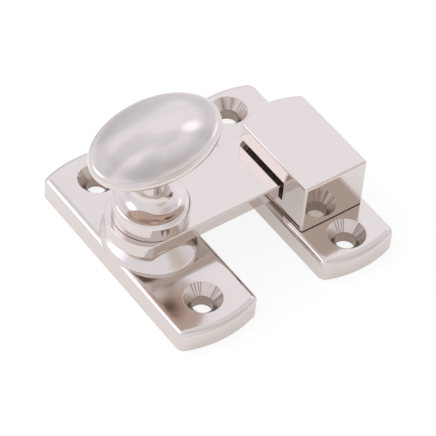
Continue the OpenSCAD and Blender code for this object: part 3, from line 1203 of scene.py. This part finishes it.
@dataclass
class Knob:
    """Boss, neck and oval head, as one casting."""

    node: str = "knob"
    boss_r: float = 8.0 * MM
    boss_h: float = 4.4 * MM
    boss_soft: float = 1.1 * MM
    foot_soft: float = 0.2 * MM
    neck_r: float = 3.2 * MM
    neck_fillet: float = 3.5 * MM
    head_blend: float = 2.0 * MM
    head_len: float = 31.46 * MM
    head_w: float = 20.6 * MM
    head_depth: float = 7.2 * MM
    dome_rise: float = 3.9 * MM
    rim_r: float = 1.3 * MM
    turn: float = 10.7
    under_pull: Pair = (0.6, 0.25)  # how the underside's curve bows outwards and upwards
    rim_angles: Pair = (-42.0, 76.0)
    valley_w: float = 0.9 * MM
    core_share: float = 0.6  # where the underside starts inside the neck
    valley_shade: float = 0.22
    valley_rows: tuple[int, ...] = (28, 37, 43, 56)  # rows of the crown where the shade starts, is full and ends
    shaded_joint_rows: int = 11  # rows at the foot painted with shade, as a dark line where the boss meets the arm
    stem_steps: int = 14
    core_steps: int = 5
    under_steps: int = 48
    rim_steps: int = 32
    valley_steps: int = 10
    dome_steps: int = 40
    sides: int = 192
    tap_sides: int = 48
    socket_half: float = 3.05 * MM
    socket_reach: float = 4.05 * MM
    socket_depth: float = 3.0 * MM
    tap_r: float = 2.05 * MM
    tap_depth: float = 10.4 * MM

    @property
    def rim_z(self) -> float:
        """Height of the rim's middle."""
        return Extent.of(self.node).high.z - self.dome_rise

    def stem(self) -> list[Level]:
        """The boss, the hollow curve and the neck.

        Returns:
            The levels, from the foot up.
        """
        foot = Extent.of(self.node).low.z
        boss_top = foot + self.boss_h
        profile = rounded_profile([
            Bend(self.boss_r - 3 * self.foot_soft, foot),
            Bend(self.boss_r, foot, self.foot_soft),
            Bend(self.boss_r, boss_top, self.boss_soft),
            Bend(self.neck_r, boss_top, self.neck_fillet),
            Bend(self.neck_r, self.rim_z - self.head_depth - self.head_blend),
        ], self.stem_steps)
        return [Level(r, r, z) for r, z in profile]

    def underside(self) -> list[Level]:
        """The head's underside, from inside the neck to the rim.

        Returns:
            The levels, from the neck out.
        """
        core_r = self.core_share * self.neck_r
        low = self.rim_z - self.head_depth
        start = math.radians(self.rim_angles[0])
        high = self.rim_z + self.rim_r * math.sin(start)
        inset = self.rim_r * (1 - math.cos(start))
        pull = np.array(self.under_pull)
        out = [Level(core_r - drop, core_r - drop, low - drop)
               for drop in np.linspace(self.head_blend / 2, 0, self.core_steps + 1)[:-1]]
        for t in np.linspace(0, 1, self.under_steps + 1):
            share, rise = pull * 2 * t * (1 - t) + t * t
            out.append(Level(core_r + (self.head_len / 2 - core_r - inset) * share,
                             core_r + (self.head_w / 2 - core_r - inset) * share, low + (high - low) * rise))
        return out

    def crown(self) -> list[Level]:
        """The rolled rim, the shallow valley inside it and the dome.

        Returns:
            The levels, from the rim in, without the dome's peak.
        """
        start, stop = self.rim_angles
        rim = []
        for a in np.radians(np.linspace(start, stop, self.rim_steps + 1)[1:]):
            inset = self.rim_r * (1 - math.cos(a))
            rim.append(Level(self.head_len / 2 - inset, self.head_w / 2 - inset,
                             self.rim_z + self.rim_r * math.sin(a)))
        foot, top = self.rim_z + self.rim_r, Extent.of(self.node).high.z
        along, across = self.head_len / 2 - self.rim_r, self.head_w / 2 - self.rim_r
        first = math.degrees(math.acos(1 - self.valley_w / across))
        dome = [Level(along * math.cos(a), across * math.cos(a), foot + (top - foot) * math.sin(a) ** 2)
                for a in np.radians(np.linspace(first, 90, self.dome_steps + 1)[:-1])]
        return rim + Level.bridge(rim[-2], rim[-1], dome[0], dome[1], self.valley_steps) + dome

    def plan(self, level: Level, blended: bool) -> np.ndarray:
        """Plan of one level.

        Args:
            level: the level.
            blended: whether the level runs into the neck with a hollow curve.

        Returns:
            Rows of x and y.
        """
        angles = np.radians(np.arange(self.sides) * 360 / self.sides)
        rows = np.column_stack([level.along * np.cos(angles), level.across * np.sin(angles)])
        if blended:
            reach = np.linalg.norm(rows, axis=1)
            near = np.clip(self.head_blend - abs(reach - self.neck_r), 0, None) / self.head_blend
            rows *= ((np.maximum(reach, self.neck_r) + near**2 * self.head_blend / 4) / reach)[:, None]
        t = math.radians(self.turn)
        return rows @ np.array([[math.cos(t), math.sin(t)], [-math.sin(t), math.cos(t)]])

    def build(self) -> None:
        """Makes the knob."""
        box = Extent.of(self.node)
        foot, top = box.low.z, box.high.z
        shell = Shell("knob_polished")
        stem = [shell.ring(self.plan(level, False), level.height) for level in self.stem()]
        under = [shell.ring(self.plan(level, True), level.height) for level in self.underside()]
        crown = [shell.ring(self.plan(level, False), level.height) for level in self.crown()]
        shell.wall(*stem[:self.shaded_joint_rows + 1])
        # painted shade along the boss's foot
        shell.mark(Tag.SEAM, 0)
        first = len(shell.bm.faces)
        rings = [*stem[self.shaded_joint_rows:], *under, *crown]
        shell.wall(*rings)
        # painted shade in the shallow valley inside the rim, fading in and out over valley_rows
        row = np.arange(len(rings) - 1) - (len(rings) - len(crown))
        valley = np.interp(row, self.valley_rows, (0, 1, 1, 0))
        shade = self.valley_shade * valley * valley * (3 - 2 * valley)
        # painted shade on the head's underside
        painted_underside_rows = ((row < 0) & (row >= -len(under))).astype(float)
        shell.mark(Tag.SEAM, first, values=np.repeat(shade, self.sides))
        shell.mark(Tag.PAINTED_UNDERSIDE_SHADE, first, values=np.repeat(painted_underside_rows, self.sides))
        peak = shell.bm.verts.new((0, 0, top))
        for a, b in zip(crown[-1], crown[-1][1:] + crown[-1][:1]):
            shell.bm.faces.new((a, b, peak))
        socket_top = foot + self.socket_depth
        low, high = shell.slab(Outline.square(self.socket_half, self.socket_reach), foot, socket_top, Rounding())
        tap_low, tap_high = shell.turned([(self.tap_r, socket_top), (self.tap_r, foot + self.tap_depth)],
                                         steps=self.tap_sides)
        shell.cap(stem[0], low)
        shell.cap(high, tap_low)
        shell.cap(tap_high)
        dress(polished(shell.build()), Body.TURNING, Slot.KNOB, self.node)


@dataclass
class HiddenFixings:
    """The spindle, the washer and the spring, whose CAD solids are shown with a steel finish."""

    slots: tuple[tuple[str, Slot], ...] = (
        ("spindle", Slot.STEEL), ("plain_washer", Slot.STEEL), ("disc_spring", Slot.SPRING))

    def build(self) -> None:
        """Gives each solid its finish."""
        for name, slot in self.slots:
            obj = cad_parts[name]
            obj.data.materials.clear()
            obj.data.materials.append(FINISHES.get(slot))
            log.info("%s: CAD solid in %s", name, slot.value)


def direction(azimuth: float, elevation: float) -> Vector:
    """A direction away from the latch.

    Args:
        azimuth: degrees from -Y towards +X.
        elevation: degrees above the floor.

    Returns:
        The unit vector.
    """
    az, el = math.radians(azimuth), math.radians(elevation)
    return Vector((math.sin(az) * math.cos(el), -math.cos(az) * math.cos(el), math.sin(el)))


@dataclass(frozen=True)
class PhotoCamera:
    """Camera at the photograph's angle, from a fit to the latch's edges."""

    azimuth: float = -39.361
    elevation: float = 47.662
    roll: float = 5.378
    focal_px: float = 2600.0
    frame_px: float = 436.0
    sensor: float = 36.0
    distance: float = 542.5 * MM
    clip_start: float = 10 * MM
    target: Triple = (17.821 * MM, 0.159 * MM, 0.0)

    def build(self) -> None:
        """Makes the camera and sets it as the scene's."""
        az, roll = math.radians(self.azimuth), math.radians(self.roll)
        back = direction(self.azimuth, self.elevation)
        right = Vector((math.cos(az), math.sin(az), 0.0))
        up = back.cross(right)
        right, up = right * math.cos(roll) + up * math.sin(roll), up * math.cos(roll) - right * math.sin(roll)
        data = bpy.data.cameras.new("photo_camera")
        data.sensor_width = self.sensor
        data.lens = self.focal_px / self.frame_px * self.sensor
        data.clip_start = self.clip_start
        camera = linked("photo_camera", data)
        matrix = Matrix((right, up, back)).transposed().to_4x4()
        matrix.translation = Vector(self.target) + back * self.distance
        camera.matrix_world = matrix
        bpy.context.scene.camera = camera


@dataclass(frozen=True)
class SoftBox:
    """A square area lamp that looks at the latch and isn't mirrored in it."""

    name: str
    azimuth: float
    elevation: float
    distance: float
    size: float
    power: float

    def build(self) -> None:
        """Makes the lamp."""
        away = direction(self.azimuth, self.elevation)
        data = bpy.data.lights.new(self.name, "AREA")
        data.shape = "SQUARE"
        data.size = self.size
        data.energy = self.power
        lamp = linked(self.name, data)
        lamp.location = away * self.distance
        lamp.rotation_euler = away.to_track_quat("Z", "Y").to_euler()
        lamp.visible_glossy = False


@dataclass(frozen=True)
class Patch:
    """A soft round patch of the tent that is lighter or darker, and warmer or (below zero) cooler, than the rest."""

    azimuth: float
    elevation: float
    inner: float
    outer: float
    gain: float
    warmth: float = 0.0


@dataclass(frozen=True)
class Studio:
    """Pale floor, a pale tent round the latch and a soft lamp."""

    key: SoftBox = SoftBox("key_box", -140.0, 50.0, distance=0.7, size=0.45, power=2.0)
    floor_size: float = 1.6
    floor_drop: float = 0.02 * MM
    floor_tone: float = 0.94
    floor_glow: float = 0.86
    floor_glow_in_metal: float = 0.46
    tent_light: float = 1.0
    tent_tint: Triple = (0.99, 1.005, 1.095)
    warm_tint: Triple = (1.08, 0.99, 0.92)
    patches: tuple[Patch, ...] = (
        Patch(135, 44, 12, 50, 0.11),
        Patch(40, 46, 4, 24, -0.18, 0.7),
        Patch(74, 52, 8, 34, -0.14),
        Patch(60, 84, 3, 20, -0.21),
        Patch(110, 42, 1, 8, 0.42),
        Patch(166, 8, 6, 26, -0.22),
        Patch(166, 61, 5, 20, -0.20),
        Patch(119, 59, 2, 13, -0.16),
        Patch(165, 79, 3, 11, 0.16),
        Patch(94, 41, 1, 7, -0.12),
        Patch(-141, 48, 4, 24, 0.72, -0.25),
        Patch(20, 0, 6, 36, -0.25, 0.7),
    )

    def floor(self) -> None:
        """A white floor that keeps the latch's shadow."""
        mesh = bpy.data.meshes.new("floor")
        half = self.floor_size / 2
        corners = [(-half, -half, 0), (half, -half, 0), (half, half, 0), (-half, half, 0)]
        mesh.from_pydata(corners, [], [(0, 1, 2, 3)])
        floor = linked("floor", mesh)
        floor.location = (0, 0, -self.floor_drop)
        material, nodes = new_material("white_floor")
        rays = nodes.add("ShaderNodeLightPath").outputs
        plain = nodes.math("MULTIPLY", rays["Is Camera Ray"], self.floor_glow)
        metal = nodes.math("MULTIPLY", rays["Is Glossy Ray"], self.floor_glow_in_metal)
        through = nodes.math("MULTIPLY", rays["Is Transmission Ray"], self.floor_glow)
        share = nodes.math("ADD", nodes.math("ADD", plain, metal, clamp=True), through, clamp=True)
        matt = nodes.add("ShaderNodeBsdfDiffuse", {"Color": rgba((self.floor_tone,) * 3)})
        glow = nodes.add("ShaderNodeEmission", {"Color": WHITE, "Strength": 1.0})
        mix = nodes.add("ShaderNodeMixShader", {0: share, 1: matt.outputs[0], 2: glow.outputs[0]})
        nodes.add("ShaderNodeOutputMaterial", {"Surface": mix.outputs[0]})
        mesh.materials.append(material)

    def tent(self) -> None:
        """The pale tent, with its lighter and darker patches."""
        world = bpy.data.worlds.new("tent")
        bpy.context.scene.world = world
        world.use_nodes = True
        nodes = Nodes(world.node_tree)
        rays = nodes.add("ShaderNodeLightPath").outputs
        seen = nodes.math("ADD", rays["Is Camera Ray"], rays["Is Transmission Ray"], clamp=True)
        place = nodes.add("ShaderNodeTexCoord").outputs["Generated"]
        level, warmth = self.tent_light, 0.0
        for patch in self.patches:
            towards = direction(patch.azimuth, patch.elevation)
            dot = nodes.add("ShaderNodeVectorMath", {0: place, 1: towards}, operation="DOT_PRODUCT")
            fade = nodes.add("ShaderNodeMapRange", {
                "Value": dot.outputs["Value"], "From Min": math.cos(math.radians(patch.outer)),
                "From Max": math.cos(math.radians(patch.inner)), "To Min": 0.0, "To Max": 1.0},
                interpolation_type="SMOOTHSTEP")
            level = nodes.math("MULTIPLY_ADD", fade.outputs[0], patch.gain, level)
            if patch.warmth:
                warmth = nodes.math("MULTIPLY_ADD", fade.outputs[0], patch.warmth, warmth)
        tint = nodes.add("ShaderNodeMix", {0: warmth, 6: rgba(self.tent_tint), 7: rgba(self.warm_tint)},
                         data_type="RGBA", clamp_factor=False)
        light = nodes.add("ShaderNodeBackground", {"Color": tint.outputs[2], "Strength": level})
        white = nodes.add("ShaderNodeBackground", {"Color": WHITE, "Strength": 1.0})
        mix = nodes.add("ShaderNodeMixShader", {0: seen, 1: light.outputs[0], 2: white.outputs[0]})
        nodes.add("ShaderNodeOutputWorld", {"Surface": mix.outputs[0]})

    def build(self) -> None:
        """Makes the floor, the tent and the lamp."""
        self.floor()
        self.tent()
        self.key.build()
        scene = bpy.context.scene
        scene.view_settings.view_transform = "Standard"


def main() -> None:
    """Builds the camera, the studio and every piece."""
    PhotoCamera().build()
    Studio().build()
    retaining = SlottedScrew("retaining_screw", Body.TURNING, head_r=3.6 * MM, head_h=1.2 * MM,
                             thread_r=1.75 * MM, pitch=0.6 * MM)
    screws = [retaining, *map(SlottedScrew, BLOCK_SCREWS)]
    for part in (MainPlate(), KeepPlate(), KeepBlock(), LatchArm(), Knob(), *screws, HiddenFixings()):
        part.build()


if __name__ == "__main__":
    main()
